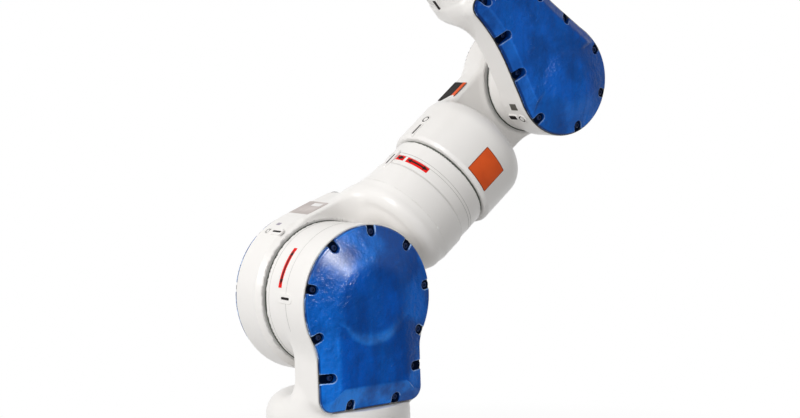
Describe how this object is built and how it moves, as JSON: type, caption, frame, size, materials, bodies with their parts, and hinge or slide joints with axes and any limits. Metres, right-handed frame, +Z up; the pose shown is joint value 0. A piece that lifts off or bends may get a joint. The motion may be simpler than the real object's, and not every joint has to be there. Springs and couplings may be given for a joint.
{
  "type": "industrial robot arm",
  "caption": "Slim floor-mounted industrial robot arm with round cast links, alternating roll and bend joints, blue screwed covers and a standard tool flange.",
  "frame": {"origin": "centre of the base's mounting face, on the first turning axis", "axes": "+Z up along the first turning axis, +X forward, the way the lower arm leans, bending axes along Y"},
  "size_m": [0.6456, 0.29, 1.0929],
  "materials": {
    "casting_paint": "glossy warm white paint on cast aluminium",
    "cover_blue": "glossy deep blue moulded cover",
    "gasket_black": "matt black gasket",
    "seal_rubber": "matt dark lip seal",
    "panel_metal": "satin plate",
    "connector_black": "moulded connector body",
    "connector_metal": "plated shell",
    "fitting_brass": "plain brass",
    "flange_metal": "fine turned face"
  },
  "bodies": {
    "base": {"base_casting": "casting_paint", "connector_panel": "panel_metal", "power_connector": "connector_black", "signal_connector": "connector_metal", "air_fittings": "fitting_brass", "base_seal": "seal_rubber"},
    "turret": {"turret_casting": "casting_paint", "turret_gasket": "gasket_black", "turret_cover": "cover_blue", "shoulder_seal": "seal_rubber"},
    "lower_arm": {"lower_arm_casting": "casting_paint", "lower_arm_gasket": "gasket_black", "lower_arm_cover": "cover_blue", "lower_arm_seal": "seal_rubber"},
    "elbow": {"elbow_casting": "casting_paint", "elbow_gasket": "gasket_black", "elbow_cover": "cover_blue"},
    "upper_arm": {"upper_arm_casting": "casting_paint", "upper_arm_gasket": "gasket_black", "upper_arm_cover": "cover_blue", "elbow_seal": "seal_rubber", "upper_arm_seal": "seal_rubber"},
    "wrist": {"wrist_casting": "casting_paint", "wrist_gasket": "gasket_black", "wrist_cover": "cover_blue", "wrist_seal": "seal_rubber"},
    "hand": {"hand_casting": "casting_paint", "hand_gasket": "gasket_black", "hand_cover": "cover_blue", "hand_seal": "seal_rubber"},
    "tool": {"tool_flange": "flange_metal"}
  },
  "joints": [
    {"name": "base_turn", "type": "hinge", "parent": "base", "child": "turret", "pos_m": [0, 0, 0.16], "axis": [0, 0, 1], "range_deg": [-180, 180]},
    {"name": "shoulder_bend", "type": "hinge", "parent": "turret", "child": "lower_arm", "pos_m": [0, 0, 0.41], "axis": [0, 1, 0], "range_deg": [-162.67, 57.33]},
    {"name": "lower_arm_turn", "type": "hinge", "parent": "lower_arm", "child": "elbow", "pos_m": [0, 0, 0.41], "axis": [0.7952, 0, 0.6064], "range_deg": [-170, 170]},
    {"name": "elbow_bend", "type": "hinge", "parent": "elbow", "child": "upper_arm", "pos_m": [0.38963, 0, 0.70714], "axis": [0, 1, 0], "range_deg": [-37.33, 222.67]},
    {"name": "upper_arm_turn", "type": "hinge", "parent": "upper_arm", "child": "wrist", "pos_m": [0.38963, 0, 0.70714], "axis": [-0.6428, 0, 0.766], "range_deg": [-180, 180]},
    {"name": "wrist_bend", "type": "hinge", "parent": "wrist", "child": "hand", "pos_m": [0.11965, 0, 1.02888], "axis": [0, 1, 0], "range_deg": [-60, 160]},
    {"name": "tool_turn", "type": "hinge", "parent": "hand", "child": "tool", "pos_m": [0.11965, 0, 1.02888], "axis": [-1, 0, 0], "range_deg": [-180, 180]}
  ]
}
